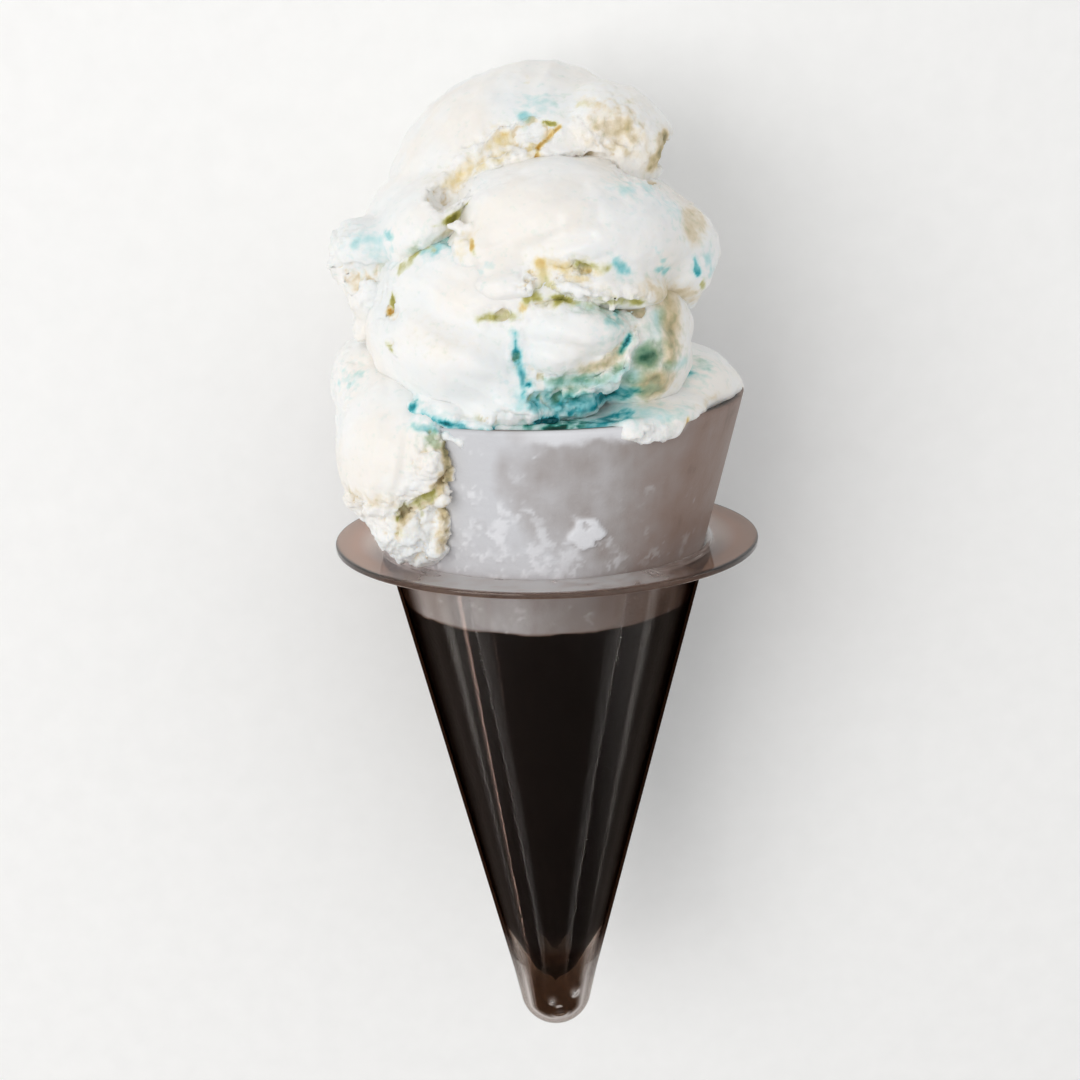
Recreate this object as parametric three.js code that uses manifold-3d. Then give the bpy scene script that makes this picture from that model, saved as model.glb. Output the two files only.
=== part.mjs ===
// An ice cream cone lying on its back: a dark cocoa cone filled with ice cream, a ball, a dome
// and a curl of ice cream piled on its mouth, a torn lump hanging over its rim on the left, and
// a clear plastic sleeve with a flat round flange round the cone.
//
// Millimetres, +Z up. The cone's axis runs along Y and its tip points towards -Y. The flange's
// edge and a flat spot on the ball's back rest on the plane z = 0, with the origin at the middle
// of the resting box. While it is built, the axis is at x = z = 0 and y = 0 is the flange.
import * as THREE from "three";
import { mergeVertices } from "three/addons/utils/BufferGeometryUtils.js";
import { ImprovedNoise } from "three/addons/math/ImprovedNoise.js";
import Module from "manifold-3d";

const wasm = await Module();
wasm.setup();

// Driving dimensions. Heights are along the axis, from the flange towards the ice cream.
const gap = 0.3; // between neighbouring pieces
const roundSides = 64;

const flangeRadius = 33.4;
const flangeThickness = 0.9;
const sleeveWall = 0.5;
const sleeveMouthRadius = 25.8; // outside, at the flange
const sleeveTaper = 0.254; // radius lost for each millimetre towards the tip
const sleeveTipRadius = 5.9;
const sleeveTipCentre = -78.4;
const sleeveTipSteps = 3;

const rimRadius = 31;
const rimHeight = 23.6;
const coneMouthRadius = sleeveMouthRadius - sleeveWall - gap; // outside, at the flange
const coneNeckRadius = 7.2;
const coneNeckHeight = -66;
const coneBluntRadius = 3.2;
const coneBluntHeight = -74.4;
const coneTip = -77;
const coneWall = 1.6;

const fillTop = rimHeight + gap;
const restingPlane = -flangeRadius * Math.cos(Math.PI / roundSides); // below the axis

// --- solids and their geometry ----------------------------------------------------------------

function solidOf(geometry) {
  const bare = new THREE.BufferGeometry();
  bare.setAttribute("position", geometry.getAttribute("position"));
  bare.setIndex(geometry.index);
  const merged = mergeVertices(bare, 1e-4);
  const triVerts = merged.index.array;
  const vertProperties = merged.getAttribute("position").array;
  return new wasm.Manifold(
    new wasm.Mesh({
      numProp: 3,
      vertProperties: new Float32Array(vertProperties),
      triVerts: new Uint32Array(triVerts),
    }),
  );
}

function geometryOf(solid) {
  const { vertProperties, triVerts } = solid.getMesh();
  const geometry = new THREE.BufferGeometry();
  geometry.setAttribute("position", new THREE.BufferAttribute(new Float32Array(vertProperties), 3));
  geometry.setIndex(new THREE.BufferAttribute(new Uint32Array(triVerts), 1));
  geometry.computeVertexNormals();
  return geometry;
}

// A cut can leave loose scraps, so a piece is the largest body of its solid.
function largestBody(solid) {
  return solid.decompose().sort((a, b) => b.volume() - a.volume())[0];
}

// A block from a low corner to a high one.
function block(low, high) {
  const size = high.map((value, i) => value - low[i]);
  const geometry = new THREE.BoxGeometry(...size);
  geometry.translate(...low.map((value, i) => value + size[i] / 2));
  return solidOf(geometry);
}

// A shape turned about the Y axis from [radius, height] pairs, with a flat side facing down.
function turned(profile) {
  const points = profile.map(([radius, height]) => new THREE.Vector2(radius, height));
  const geometry = new THREE.LatheGeometry(points, roundSides);
  geometry.rotateY(Math.PI / roundSides);
  return solidOf(geometry);
}

// --- the sleeve and the cone --------------------------------------------------------------------

// The sleeve's rounded tip, from the axis out to where the straight side starts.
function tipArc(radius) {
  const sideAngle = Math.PI / 2 - Math.atan(sleeveTaper);
  return Array.from({ length: sleeveTipSteps + 1 }, (_, i) => {
    const angle = (i / sleeveTipSteps) * sideAngle;
    return [radius * Math.sin(angle), sleeveTipCentre - radius * Math.cos(angle)];
  });
}

function makeSleeve() {
  const top = flangeThickness / 2;
  return turned([
    ...tipArc(sleeveTipRadius),
    [sleeveMouthRadius - sleeveTaper * top, -top],
    [flangeRadius, -top],
    [flangeRadius, top],
    [sleeveMouthRadius + sleeveTaper * top - sleeveWall, top],
    ...tipArc(sleeveTipRadius - sleeveWall).reverse(),
  ]);
}

// The cone's inner face, or the outside of what fills it, from the rim down to the axis.
function coneInside(clearance) {
  const inset = coneWall + clearance;
  return [
    [rimRadius - inset, rimHeight],
    [coneMouthRadius - inset, 0],
    [coneNeckRadius - inset, coneNeckHeight],
    [0, coneBluntHeight + inset],
  ];
}

function makeCone() {
  return turned([
    [0, coneTip],
    [coneBluntRadius, coneBluntHeight],
    [coneNeckRadius, coneNeckHeight],
    [coneMouthRadius, 0],
    [rimRadius, rimHeight],
    ...coneInside(0),
  ]);
}

// --- lumps of ice cream -------------------------------------------------------------------------

const noise = new ImprovedNoise();

// A lump is an ellipsoid at [x, y, z] with its half sizes, turned about Z, and an uneven skin:
// `rough` is the skin's depth and `grain` the size of its bumps. `grow` makes it larger all
// round, to cut room for it in a neighbour.
function lump({ at, size, turn = 0, detail, rough, grain }, grow = 0) {
  const geometry = new THREE.IcosahedronGeometry(1, detail);
  const half = new THREE.Vector3(...size);
  const middle = new THREE.Vector3(...at);
  const spot = new THREE.Vector3();
  const outwards = new THREE.Vector3();
  const spots = geometry.getAttribute("position");
  for (let i = 0; i < spots.count; i++) {
    spot.fromBufferAttribute(spots, i).normalize();
    outwards.copy(spot).divide(half).normalize();
    spot.multiply(half);
    const [x, y, z] = spot.clone().add(middle).divideScalar(grain);
    const bump = 2 * noise.noise(x, y, z) + noise.noise(2 * x, 2 * y, 2 * z);
    spot.addScaledVector(outwards, rough * bump + grow);
    spots.setXYZ(i, ...spot);
  }
  geometry.rotateZ(THREE.MathUtils.degToRad(turn));
  geometry.translate(...at);
  return solidOf(geometry);
}

function pile(lumps, grow = 0) {
  return lumps.map((one) => lump(one, grow)).reduce((whole, part) => whole.add(part));
}

const smooth = { detail: 5, rough: 0.8, grain: 9 };
const rounded = { detail: 3, rough: 0.6, grain: 6 };
const torn = { detail: 3, rough: 1, grain: 4 };
const notch = { detail: 1, rough: 0.8, grain: 4 };

// The ball pressed onto the filled mouth, with a column down its right side and a flat slab, a
// crack and a pocket in its front.
const bottomLumps = [
  { at: [-3, 38, -3.5], size: [26, 19.5, 31.8], ...smooth, detail: 6 },
  { at: [-9.5, 32.5, 5], size: [18.5, 11.5, 24.5], turn: -16, ...smooth, detail: 3 },
  { at: [-3, 27, 18.5], size: [12, 5.5, 11], turn: 4, ...rounded, detail: 2 },
  { at: [13, 34, 10.5], size: [9.6, 13, 14], turn: 10, ...smooth, detail: 3 },
  { at: [4.8, 35.5, 21], size: [10, 5.6, 8.5], turn: 4, ...rounded },
];
const bottomDents = [
  { at: [4.5, 28, 34], size: [9.5, 3.6, 9], turn: -8, ...torn },
  { at: [-4.4, 31.5, 32], size: [1.8, 6.5, 6], turn: 12, ...notch },
  { at: [-23.5, 39.8, 16.5], size: [2, 2.2, 4], ...notch, rough: 0.4 },
];

// The dome over the front of the ball, with a torn lip and a hollow above the lip.
const middleLumps = [
  { at: [5, 50, 7], size: [18.5, 10.8, 21], turn: -10, ...smooth },
  { at: [-6.5, 47, 14], size: [10.5, 6.8, 11], turn: 28, ...rounded },
  { at: [18.6, 44.8, 4], size: [8, 8.8, 14], turn: 32, ...rounded },
  { at: [-4.5, 43.6, 20], size: [7.5, 4.4, 8.4], turn: 2, ...rounded },
  { at: [7.5, 43.4, 20], size: [11, 3.6, 8.4], turn: -12, ...torn },
];
const middleDents = [
  { at: [3, 45.2, 31.5], size: [7, 1.8, 5], turn: -8, ...torn, detail: 2 },
];

// The curl behind the dome: torn on the underside that faces the front, open on the right.
const topLumps = [
  { at: [-1, 50, -8.5], size: [23.4, 23.6, 23.5], ...smooth },
  { at: [-15, 46.5, -1], size: [14, 12.5, 14], turn: 34, ...smooth, detail: 3 },
  { at: [10.4, 62.2, -1], size: [10.5, 8.4, 12], turn: -24, ...torn, detail: 4 },
  { at: [-25.8, 47.4, 3], size: [6.6, 4.2, 6.5], turn: 8, ...torn, detail: 2 },
  { at: [-24.6, 38.8, 5], size: [5, 5.4, 6], ...torn, detail: 2 },
];
const topDents = [
  { at: [4, 53, 19.5], size: [16, 10, 12.5], turn: 32, ...torn, detail: 5, rough: 1.4 },
  { at: [26, 53.5, -8], size: [9.5, 8, 32], ...rounded },
];

// The torn lump over the rim on the left, which reaches down to the flange.
const sideLumps = [
  { at: [-26.4, 26, 2], size: [6.4, 7.4, 12], ...rounded },
  { at: [-21.4, 17.5, 12.5], size: [10.4, 12.6, 15.6], ...torn, detail: 5, rough: 1.4 },
  { at: [-17.4, 18.5, 24], size: [4.4, 8, 4.6], ...torn },
  { at: [-20.2, 8.6, 19], size: [6.2, 7, 6.6], turn: 10, ...torn },
];
const sideDents = [
  { at: [-23, 12.6, 28], size: [8, 1.8, 9], turn: 18, ...torn, detail: 2 },
  { at: [-14, 20.5, 31], size: [6, 1.6, 6], turn: -18, ...torn, detail: 2 },
];

// What the filling spreads over the rim on the right, with a short run down the front.
const spreadLumps = [
  { at: [22.8, 25, -2], size: [8.6, 5, 16], turn: -18, ...rounded, detail: 2 },
  { at: [16, 23.8, 12], size: [9, 2.6, 14.5], ...rounded, detail: 2 },
  { at: [15.6, 22.2, 27], size: [5.2, 2.4, 2], turn: 12, ...torn, rough: 0.5 },
];

// Room that is cut out of a piece for its neighbours.
const coneRoom = turned([
  [0, 0],
  [coneMouthRadius + gap, 0],
  [rimRadius + gap, fillTop],
  [0, fillTop],
]);
const fillRoom = block([-flangeRadius, 0, -flangeRadius], [flangeRadius, fillTop + gap, flangeRadius]);
const floorRoom = block([-flangeRadius, 0, 2 * restingPlane], [flangeRadius, 80, restingPlane]);
const bottomRoom = pile(bottomLumps, gap).subtract(fillRoom);
const middleRoom = pile(middleLumps, gap);
const topRoom = pile(topLumps, gap);
const sideRoom = pile(sideLumps, gap);

function makeFilling() {
  const inside = coneInside(gap);
  const mouth = inside[0][0];
  const plug = turned([...inside.reverse(), [mouth, fillTop], [0, fillTop]]);
  const spread = pile(spreadLumps).subtract(coneRoom);
  return plug.add(spread).subtract(bottomRoom).subtract(sideRoom);
}

function makeBottom() {
  const ball = pile(bottomLumps).subtract(pile(bottomDents));
  return ball.subtract(middleRoom).subtract(topRoom).subtract(fillRoom).subtract(floorRoom);
}

function makeMiddle() {
  return pile(middleLumps).subtract(pile(middleDents));
}

function makeTop() {
  return pile(topLumps).subtract(pile(topDents)).subtract(middleRoom);
}

function makeSide() {
  const whole = pile(sideLumps).subtract(pile(sideDents));
  return whole.subtract(bottomRoom).subtract(topRoom).subtract(coneRoom);
}

// --- materials and scene graph ------------------------------------------------------------------

function material(color, roughness, extra = {}) {
  return new THREE.MeshStandardMaterial({ color, roughness, metalness: 0, ...extra });
}

const clearPlastic = material(0xb3a59f, 0.08, { transparent: true, opacity: 0.35 });
const cocoaCone = material(0x261a15, 0.45);
const iceCream = material(0xf5f2ea, 0.5);

function piece(name, solid, look) {
  const mesh = new THREE.Mesh(geometryOf(largestBody(solid)), look);
  mesh.name = name;
  return mesh;
}

const iceCreamCone = new THREE.Group();
iceCreamCone.add(
  piece("sleeve", makeSleeve(), clearPlastic),
  piece("cone", makeCone(), cocoaCone),
  piece("filling", makeFilling(), iceCream),
  piece("scoop_bottom", makeBottom(), iceCream),
  piece("scoop_middle", makeMiddle(), iceCream),
  piece("scoop_top", makeTop(), iceCream),
  piece("side_lump", makeSide(), iceCream),
);

const extent = new THREE.Box3().setFromObject(iceCreamCone);
const middleOfExtent = extent.getCenter(new THREE.Vector3());
iceCreamCone.position.set(-middleOfExtent.x, -middleOfExtent.y, -extent.min.z);

export default iceCreamCone;
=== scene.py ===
# An ice cream cone lying on its back: white ice cream marbled with teal on a frosted cocoa
# cone, in a clear plastic sleeve with a flat flange.
from math import atan, cos, pi, radians, sin

import bmesh
import bpy
import numpy as np
from mathutils import Matrix, Vector, noise
from mathutils.bvhtree import BVHTree


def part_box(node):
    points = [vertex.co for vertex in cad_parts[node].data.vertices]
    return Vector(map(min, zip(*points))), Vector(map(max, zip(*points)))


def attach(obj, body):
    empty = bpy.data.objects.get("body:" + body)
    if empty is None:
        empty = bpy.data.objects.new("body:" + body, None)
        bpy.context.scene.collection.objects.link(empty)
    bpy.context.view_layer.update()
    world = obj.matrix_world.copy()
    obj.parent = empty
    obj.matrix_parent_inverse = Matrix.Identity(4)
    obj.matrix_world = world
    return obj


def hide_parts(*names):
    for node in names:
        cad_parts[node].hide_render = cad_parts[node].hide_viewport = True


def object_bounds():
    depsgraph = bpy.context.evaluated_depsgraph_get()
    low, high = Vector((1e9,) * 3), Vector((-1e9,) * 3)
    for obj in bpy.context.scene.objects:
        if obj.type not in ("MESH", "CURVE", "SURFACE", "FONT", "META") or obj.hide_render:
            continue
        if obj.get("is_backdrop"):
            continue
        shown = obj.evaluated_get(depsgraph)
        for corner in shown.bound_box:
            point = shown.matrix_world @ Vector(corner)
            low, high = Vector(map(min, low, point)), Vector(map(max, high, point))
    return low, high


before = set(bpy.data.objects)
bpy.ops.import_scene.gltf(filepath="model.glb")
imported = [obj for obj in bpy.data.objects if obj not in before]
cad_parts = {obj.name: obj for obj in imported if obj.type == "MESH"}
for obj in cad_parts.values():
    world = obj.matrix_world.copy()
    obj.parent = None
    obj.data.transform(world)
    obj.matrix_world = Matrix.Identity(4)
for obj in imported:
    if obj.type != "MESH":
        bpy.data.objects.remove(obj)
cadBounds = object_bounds()

# Everything is modelled in millimetres round the cone's axis: y runs along it from the flange
# towards the ice cream, z points at the shown side. toFrame takes that into the frame.
mm = 0.001
flangeThickness = 0.9
sleeveLow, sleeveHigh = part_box("sleeve")
coneLow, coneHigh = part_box("cone")
axisHeight = (sleeveLow.z + sleeveHigh.z) / 2
flangeY = sleeveHigh.y - flangeThickness / 2 * mm
toFrame = Matrix.Translation((0, flangeY, axisHeight)) @ Matrix.Scale(mm, 4)
restingPlane = -axisHeight / mm  # what the cone lies on, below its axis

flangeRadius = (sleeveHigh.x - sleeveLow.x) / 2 / mm
rimRadius = (coneHigh.x - coneLow.x) / 2 / mm
rimHeight = (coneHigh.y - flangeY) / mm
coneTip = (coneLow.y - flangeY) / mm


def ease(values):
    # from 0 to 1 with a soft start and end
    t = np.clip(values, 0, 1)
    return t * t * (3 - 2 * t)


def fractal(points, size, octaves=3, shift=0.0):
    # noise whose largest bumps are about `size` millimetres, from -1 to 1
    start = Vector((shift, -shift, 2 * shift))
    return np.array([noise.fractal(Vector(p) / size + start, 1, 2, octaves) for p in points])


def cells(points, size, shift=0.0):
    # cells about `size` millimetres across: 1 in a cell's middle and 0 on its edge, and each
    # cell's own number
    start = Vector((shift, -shift, 2 * shift))
    middles = []
    numbers = []
    for p in points:
        far, seeds = noise.voronoi(Vector(p) / size + start)
        middles.append(min(1, (far[1] - far[0]) * 1.6))
        numbers.append(noise.noise(seeds[0] * 5.3))
    return np.array(middles), np.array(numbers)


def spot(at, size, strength=1, turn=0, soft=1, fray=0.6):
    # An ellipsoid: a lump, a dent, a torn place, or a mark that paints a syrup's colour or painted shade,
    # turned by degrees about z. A mark fades over more of its width the softer it is, and fray tears its
    # edge.
    return {"at": at, "size": size, "strength": strength, "turn": turn, "soft": soft, "fray": fray}


def streak(line, width, strength=1, soft=1, fray=0.6):
    # a mark of syrup colour or painted shade along a line through a few places
    return {"line": line, "width": width, "strength": strength, "soft": soft, "fray": fray}


def fold(line, width, depth):
    # a crease along a line, or a ridge where its depth is below 0
    return {"line": line, "width": width, "depth": depth}


def chain(line, size):
    # a row of overlapping spots along a line
    spots = []
    for start, end in zip(line, line[1:]):
        start, end = Vector(start), Vector(end)
        count = max(1, round((end - start).length / (0.7 * min(size[:2]))))
        spots += [spot(start.lerp(end, i / count), size) for i in range(count)]
    return [*spots, spot(line[-1], size)]


def fromMiddle(points, mark):
    # distance from the middle of a spot, 1 on its skin
    turn = radians(-mark["turn"])
    local = points - np.array(mark["at"], float)
    x = local[:, 0] * cos(turn) - local[:, 1] * sin(turn)
    y = local[:, 0] * sin(turn) + local[:, 1] * cos(turn)
    size = mark["size"]
    return np.sqrt((x / size[0]) ** 2 + (y / size[1]) ** 2 + (local[:, 2] / size[2]) ** 2)


def fromLine(points, mark):
    # Distance from a mark's line, 1 at its width. Depth counts for a quarter, so that the mark
    # follows the skin.
    flat = np.array([1, 1, 0.25])
    points = points * flat
    line = [np.array(place) * flat for place in mark["line"]]
    best = np.full(len(points), 1e9)
    for start, end in zip(line, line[1:]):
        along = end - start
        share = np.clip((points - start) @ along / (along @ along), 0, 1)
        best = np.minimum(best, np.linalg.norm(points - start - share[:, None] * along, axis=1))
    return best / mark["width"]


def objectFrom(name, bm):
    mesh = bpy.data.meshes.new(name)
    bm.to_mesh(mesh)
    bm.free()
    made = bpy.data.objects.new(name, mesh)
    bpy.context.scene.collection.objects.link(made)
    return made


def modified(piece, kind, **settings):
    # the piece with one modifier made real
    step = piece.modifiers.new(kind.lower(), kind)
    for key, value in settings.items():
        setattr(step, key, value)
    graph = bpy.context.evaluated_depsgraph_get()
    mesh = bpy.data.meshes.new_from_object(piece.evaluated_get(graph))
    piece.modifiers.clear()
    old = piece.data
    piece.data = mesh
    bpy.data.meshes.remove(old)


def softened(piece, rounds):
    bm = bmesh.new()
    bm.from_mesh(piece.data)
    everyWay = {"use_axis_x": True, "use_axis_y": True, "use_axis_z": True}
    for _ in range(rounds):
        bmesh.ops.smooth_vert(bm, verts=bm.verts, factor=0.5, **everyWay)
    bm.to_mesh(piece.data)
    bm.free()


def pointsOf(mesh):
    points = np.empty(len(mesh.vertices) * 3, np.float32)
    outwards = np.empty(len(mesh.vertices) * 3, np.float32)
    mesh.vertices.foreach_get("co", points)
    mesh.vertex_normals.foreach_get("vector", outwards)
    return points.reshape(-1, 3).astype(float), outwards.reshape(-1, 3).astype(float)


def setPoints(mesh, points):
    mesh.vertices.foreach_set("co", points.astype(np.float32).ravel())
    mesh.update()


def paint(mesh, name, values):
    layer = mesh.attributes.new(name, "FLOAT", "POINT")
    layer.data.foreach_set("value", np.asarray(values, np.float32))


def hollows(mesh, points, outwards, rounds):
    # how far each point lies below the smoothed skin round it, in millimetres
    ends = np.empty(len(mesh.edges) * 2, np.int32)
    mesh.edges.foreach_get("vertices", ends)
    a, b = ends.reshape(-1, 2).T
    count = len(points)
    shared = np.bincount(a, minlength=count) + np.bincount(b, minlength=count)
    soft = points
    for _ in range(rounds):
        near = [np.bincount(a, soft[b, k], count) + np.bincount(b, soft[a, k], count) for k in range(3)]
        soft = 0.5 * soft + 0.5 * np.stack(near, 1) / shared[:, None]
    return ((soft - points) * outwards).sum(1)


def place(piece, node, slot, material):
    # puts a finished piece into the frame, gives it its material and hides the CAD part it stands for
    mesh = piece.data
    mesh.transform(toFrame)
    mesh.materials.clear()  # of the empty slots that a cutter leaves
    mesh.materials.append(material)
    mesh.shade_smooth()
    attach(piece, "root")
    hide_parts(node)
    print(piece.name, sum(len(f.vertices) - 2 for f in mesh.polygons), "triangles")


def linear(hexColour):
    # sRGB hex to linear colour
    parts = [int(hexColour[i:i + 2], 16) / 255 for i in (1, 3, 5)]
    return (*(p / 12.92 if p <= 0.04045 else ((p + 0.055) / 1.055) ** 2.4 for p in parts), 1)


def addNode(tree, kind, inputs=None, **settings):
    # a shader node, with values or the outputs of other nodes put into its inputs
    node = tree.nodes.new("ShaderNode" + kind)
    for key, value in settings.items():
        setattr(node, key, value)
    for key, value in (inputs or {}).items():
        if isinstance(value, bpy.types.NodeSocket):
            tree.links.new(value, node.inputs[key])
        else:
            node.inputs[key].default_value = value
    return node


def newMaterial(name, **sockets):
    # a material with one Principled shader, with its even values on the shader's own sockets
    material = bpy.data.materials.new(name)
    material.use_nodes = True
    tree = material.node_tree
    tree.nodes.clear()
    out = addNode(tree, "OutputMaterial")
    shader = addNode(tree, "BsdfPrincipled")
    for key, value in sockets.items():
        shader.inputs[key.replace("_", " ")].default_value = value
    tree.links.new(shader.outputs[0], out.inputs["Surface"])
    return material, tree, shader


def rampOf(tree, factor, stops):
    node = addNode(tree, "ValToRGB", {"Fac": factor})
    elements = node.color_ramp.elements
    while len(elements) < len(stops):
        elements.new(0.5)
    for element, (where, colour) in zip(elements, stops):
        element.position = where
        element.color = linear(colour)
    return node.outputs["Color"]


def colourOver(tree, share, below, above, way="MIX"):
    # one colour laid over another, or multiplied with it, by a share from 0 to 1
    below, above = (linear(c) if isinstance(c, str) else c for c in (below, above))
    inputs = {0: share, 6: below, 7: above}
    return addNode(tree, "Mix", inputs, data_type="RGBA", blend_type=way).outputs[2]


print("camera and lights")
view = {
    "distance": 340,  # millimetres from what it looks at
    "lookAt": (-1.1, -0.5, 0),
    "lean": 15,  # degrees from straight down, towards the ice cream
    "roll": -1.2,
    "lens": 71.4,
}
camera = bpy.data.objects.new("camera", bpy.data.cameras.new("camera"))
bpy.context.scene.collection.objects.link(camera)
turned = Matrix.Rotation(radians(-view["lean"]), 4, "X") @ Matrix.Rotation(radians(view["roll"]), 4, "Z")
away = Vector((0, sin(radians(view["lean"])), cos(radians(view["lean"])))) * view["distance"]
camera.matrix_world = Matrix.Translation(toFrame @ (Vector(view["lookAt"]) + away)) @ turned
camera.data.lens = view["lens"]
camera.data.sensor_width = 36
camera.data.clip_start = 0.01
bpy.context.scene.camera = camera

studio = {
    "sky": 0.59,  # strength of the room's own light
    "aim": (0, 0, 0.03),  # where every lamp points, in metres
    "lamps": [  # name, place in metres, direction of its width, width and length in metres, watts, colour
        ("key", (-0.5, 0.17, 0.82), (1, 0, 0), (0.66, 0.66), 3.9, "#fffdfb"),
        ("fill", (0.6, 0.1, 0.8), (1, 0, 0), (1.2, 1.2), 0.8, "#f8faff"),
        ("strip", (-0.46, -0.5, 0.107), (0.068, -0.132, -0.064), (0.3, 0.02), 0.04, "#ffdccb"),
    ],
}
world = bpy.data.worlds.new("studio")
world.use_nodes = True
tree = world.node_tree
sky = tree.nodes["Background"]
# The room is darker behind the cone's tip, for what the sleeve mirrors of it. Light comes from
# all of it evenly.
ray = addNode(tree, "TexCoord").outputs["Generated"]
side = addNode(tree, "SeparateXYZ", {"Vector": ray}).outputs["Y"]
room = addNode(tree, "MapRange", {"Value": side, "From Min": -0.72, "From Max": -0.3})
even = addNode(tree, "LightPath").outputs["Is Diffuse Ray"]
lit = addNode(tree, "Math", {0: room.outputs[0], 1: even}, operation="MAXIMUM").outputs[0]
tree.links.new(rampOf(tree, lit, [(0, "#2c2b2b"), (1, "#ffffff")]), sky.inputs["Color"])
sky.inputs["Strength"].default_value = studio["sky"]
bpy.context.scene.world = world
for name, where, along, size, watts, colour in studio["lamps"]:
    lamp = bpy.data.objects.new(name, bpy.data.lights.new(name, "AREA"))
    lamp.data.shape = "RECTANGLE"
    lamp.data.size, lamp.data.size_y = size
    lamp.data.energy = watts
    lamp.data.color = linear(colour)[:3]
    back = (Vector(where) - Vector(studio["aim"])).normalized()
    across = (Vector(along) - Vector(along).dot(back) * back).normalized()
    facing = Matrix((across, back.cross(across), back)).transposed().to_4x4()
    lamp.matrix_world = Matrix.Translation(where) @ facing
    bpy.context.scene.collection.objects.link(lamp)
bpy.context.scene.view_settings.view_transform = "Standard"

print("floor")
# Matte painted board: pale and even, with soft shadows.
floorLook, tree, shader = newMaterial("matte painted board", Roughness=0.6)
speckle = addNode(tree, "TexNoise", {"Scale": 900, "Detail": 2}).outputs["Fac"]
pale = rampOf(tree, speckle, [(0.3, "#fafaf9"), (0.7, "#fdfdfc")])
tree.links.new(pale, shader.inputs["Base Color"])
bm = bmesh.new()
bmesh.ops.create_grid(bm, x_segments=4, y_segments=4, size=2)
floor = objectFrom("floor", bm)
floor.data.materials.append(floorLook)
floor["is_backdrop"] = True


def iceCreamLook():
    # Churned milk ice: light sinks in and comes back creamy where it was scooped, and it is grainy and beige
    # where it was torn, partly as painted shade. Hollows, undercuts and the shaded right side are painted
    # beige, olive and gold as shade. Where the teal syrup runs it is wet and glassy.
    glow = {"Subsurface_Weight": 0.25, "Subsurface_Radius": (1, 0.85, 0.7), "Subsurface_Scale": 2 * mm}
    material, tree, shader = newMaterial("milk ice cream", IOR=1.34, **glow)
    here = addNode(tree, "TexCoord").outputs["Object"]
    torn, paintedHollowShade, teal, amberAndShade, oliveShade = (
        addNode(tree, "Attribute", attribute_name=name).outputs["Fac"]
        for name in ("torn", "paintedHollowShade", "teal", "amberAndShade", "oliveShade")
    )
    drift = addNode(tree, "TexNoise", {"Vector": here, "Scale": 1 / (13 * mm), "Detail": 3})
    cream = rampOf(tree, drift.outputs["Fac"], [(0.36, "#f1f4f4"), (0.5, "#f7f7f5"), (0.64, "#f7f3ed")])
    # a fine noise frays the edge of every colour
    ragged = addNode(tree, "TexNoise", {"Vector": here, "Scale": 1 / (1.1 * mm), "Detail": 3})
    frayed = addNode(tree, "Math", {0: ragged.outputs["Fac"], 1: 0.5}, operation="SUBTRACT").outputs[0]
    shadeAmount, blue, amberAndShadeAmount, oliveShadeAmount = (
        addNode(tree, "Math", {0: frayed, 1: fray, 2: amount}, operation="MULTIPLY_ADD").outputs[0]
        for fray, amount in ((0.45, paintedHollowShade), (0.4, teal), (0.4, amberAndShade), (0.3, oliveShade))
    )
    # painted shade in the hollows, beige turning olive where they are deepest
    hollow = rampOf(tree, shadeAmount, [(0.1, "#f5f0e5"), (0.35, "#ece1cc"), (0.65, "#d0c09a"), (1, "#8c8460")])
    colour = colourOver(tree, rampOf(tree, shadeAmount, [(0.05, "#000000"), (0.4, "#ffffff")]), cream, hollow)
    veins = rampOf(
        tree,
        blue,
        [(0.04, "#ffffff"), (0.25, "#d3f0f2"), (0.5, "#97dae0"), (0.75, "#38a9b6"), (1, "#0f6068")],
    )
    colour = colourOver(tree, 1, colour, veins, "MULTIPLY")
    # amber spots, and painted gold shade in cavities and tears
    stainAndShade = rampOf(tree, amberAndShadeAmount, [(0.1, "#f7eed8"), (0.5, "#ead69c"), (1, "#c4932e")])
    colour = colourOver(tree, rampOf(tree, amberAndShadeAmount, [(0.1, "#000000"), (0.55, "#ffffff")]), colour, stainAndShade)
    # painted shade: olive in crevices and undercuts
    oliveShadeColour = rampOf(tree, oliveShadeAmount, [(0.2, "#e3e6c6"), (0.6, "#b9b46a"), (1, "#807c2a")])
    colour = colourOver(tree, rampOf(tree, oliveShadeAmount, [(0.1, "#000000"), (0.5, "#ffffff")]), colour, oliveShadeColour)
    tree.links.new(colour, shader.inputs["Base Color"])
    dull = addNode(tree, "MapRange", {"Value": torn, "To Min": 0.38, "To Max": 0.62})
    sheen = addNode(tree, "Math", {0: teal, 1: -0.3, 2: dull.outputs[0]}, operation="MULTIPLY_ADD")
    tree.links.new(sheen.outputs[0], shader.inputs["Roughness"])
    grain = addNode(tree, "TexNoise", {"Vector": here, "Scale": 1 / (0.6 * mm), "Detail": 3})
    depth = addNode(tree, "MapRange", {"Value": torn, "To Min": 0.1, "To Max": 0.6}).outputs[0]
    relief = {"Height": grain.outputs["Fac"], "Strength": depth, "Distance": 0.3 * mm}
    tree.links.new(addNode(tree, "Bump", relief).outputs["Normal"], shader.inputs["Normal"])
    return material


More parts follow.
